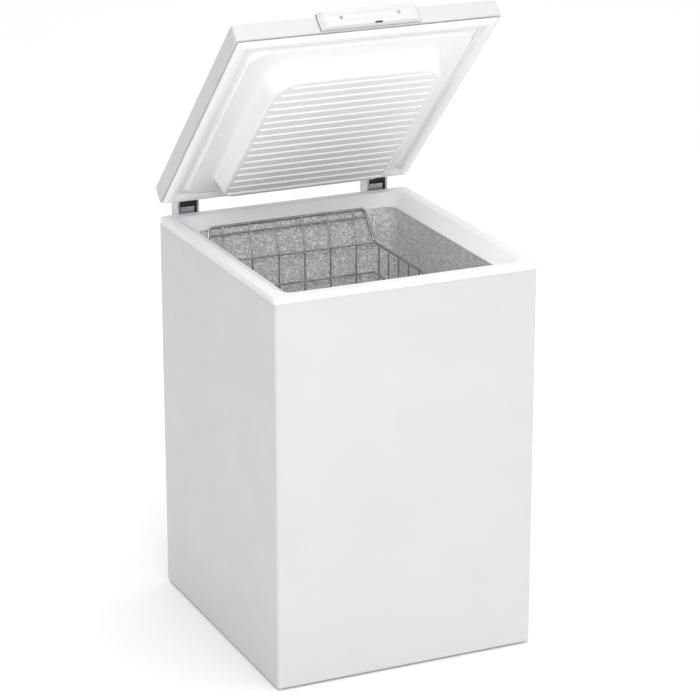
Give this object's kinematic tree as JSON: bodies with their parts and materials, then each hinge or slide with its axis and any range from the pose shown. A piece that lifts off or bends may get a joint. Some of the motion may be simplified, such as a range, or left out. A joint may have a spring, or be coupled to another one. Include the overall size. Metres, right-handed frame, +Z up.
{
  "type": "chest freezer",
  "caption": "White top-opening chest freezer with a sprung counterbalanced lid, an embossed metal well, a hanging wire basket and a compressor bay at the rear.",
  "frame": {"origin": "centre of the bounding box's footprint, on the floor, with the lid standing open at 45 degrees as stored", "axes": "+Z up; +X to the right seen from the front, along the cabinet's width; +Y from the front to the back, where the hinges are"},
  "size_m": [0.5663, 0.647, 1.3131],
  "materials": {
    "white_steel": "satin",
    "white_plastic": "satin",
    "dark_plastic": "matte",
    "red_plastic": "gloss",
    "green_plastic": "gloss",
    "amber_plastic": "gloss",
    "galvanised_steel": "satin",
    "bright_steel": "polished",
    "embossed_aluminium": "embossed",
    "gasket_rubber": "soft",
    "black_rubber": "matte",
    "foam": "cellular foam",
    "black_painted_steel": "satin",
    "copper": "drawn tube",
    "motor_steel": "machined",
    "white_wire": "coated wire"
  },
  "bodies": {
    "cabinet": {"outer_wrap": "white_steel", "back_panel": "galvanised_steel", "base_tray": "galvanised_steel", "bay_housing": "galvanised_steel", "collar_frame": "white_plastic", "inner_liner": "embossed_aluminium", "foam_body": "foam", "feet": "dark_plastic", "evaporator_coil": "copper", "condenser_coil": "black_painted_steel", "capillary_tube": "copper", "suction_line": "copper", "discharge_line": "copper", "liquid_line": "copper", "filter_drier": "copper", "thermostat_sensor": "copper", "compressor_shell": "black_painted_steel", "compressor_pump_unit": "motor_steel", "compressor_rail": "galvanised_steel", "compressor_grommets": "black_rubber", "compressor_bolts": "bright_steel", "start_relay_box": "dark_plastic", "wiring_loom": "dark_plastic", "control_panel": "white_plastic", "thermostat_body": "dark_plastic", "fast_freeze_switch": "dark_plastic", "power_lamp": "green_plastic", "warning_lamp": "red_plastic", "freezing_lamp": "amber_plastic", "side_grille": "white_plastic", "rear_cover": "galvanised_steel", "rear_cover_screws": "bright_steel", "cord_gland": "dark_plastic", "drain_tube": "white_plastic", "hinge_channel_left": "galvanised_steel", "hinge_channel_right": "galvanised_steel", "hinge_pins": "bright_steel", "hinge_spring_left": "bright_steel", "hinge_spring_right": "bright_steel", "hinge_cabinet_screws": "bright_steel"},
    "lid": {"lid_skin": "white_steel", "lid_liner": "white_plastic", "lid_foam": "foam", "lid_gasket": "gasket_rubber", "lid_handle": "white_plastic", "handle_screws": "bright_steel", "hinge_leaf_left": "galvanised_steel", "hinge_leaf_right": "galvanised_steel", "hinge_cams": "dark_plastic", "hinge_lid_screws": "bright_steel"},
    "basket": {"basket_frame": "white_wire", "basket_floor_grid": "white_wire", "basket_side_grids": "white_wire", "basket_end_grids": "white_wire"},
    "plunger_left": {"hinge_plunger_left": "galvanised_steel"},
    "plunger_right": {"hinge_plunger_right": "galvanised_steel"},
    "thermostat_dial": {"thermostat_knob": "white_plastic"},
    "freeze_button": {"fast_freeze_button": "amber_plastic"},
    "drain_stopper": {"drain_plug": "white_plastic"},
    "outlet_cap": {"drain_outlet_cap": "white_plastic"}
  },
  "joints": [
    {"name": "lid_hinge", "type": "hinge", "parent": "cabinet", "child": "lid", "pos_m": [0, 0.306, 0.84], "axis": [-1, 0, 0], "range_deg": [-45, 35]},
    {"name": "basket_slide", "type": "slide", "parent": "cabinet", "child": "basket", "axis": [1, 0, 0], "range_m": [0, 0.04]},
    {"name": "plunger_left_slide", "type": "slide", "parent": "cabinet", "child": "plunger_left", "axis": [0, 0, 1], "range_m": [-0.0055, 0.0045], "deforming": ["hinge_spring_left"]},
    {"name": "plunger_right_slide", "type": "slide", "parent": "cabinet", "child": "plunger_right", "axis": [0, 0, 1], "range_m": [-0.0055, 0.0045], "deforming": ["hinge_spring_right"]},
    {"name": "thermostat_turn", "type": "hinge", "parent": "cabinet", "child": "thermostat_dial", "pos_m": [0.266, 0.203, 0.15], "axis": [1, 0, 0], "range_deg": [-150, 150]},
    {"name": "freeze_button_press", "type": "slide", "parent": "cabinet", "child": "freeze_button", "axis": [-1, 0, 0], "range_m": [0, 0.0025], "stiffness_N_per_m": 400},
    {"name": "drain_stopper_lift", "type": "slide", "parent": "cabinet", "child": "drain_stopper", "axis": [0, 0, 1], "range_m": [0, 0.02]},
    {"name": "outlet_cap_pull", "type": "slide", "parent": "cabinet", "child": "outlet_cap", "axis": [1, 0, 0], "range_m": [0, 0.02]}
  ],
  "couplings": [
    {"joint": "plunger_left_slide", "follows": "lid_hinge", "m_per_rad": 0.00644},
    {"joint": "plunger_right_slide", "follows": "lid_hinge", "m_per_rad": 0.00644}
  ]
}
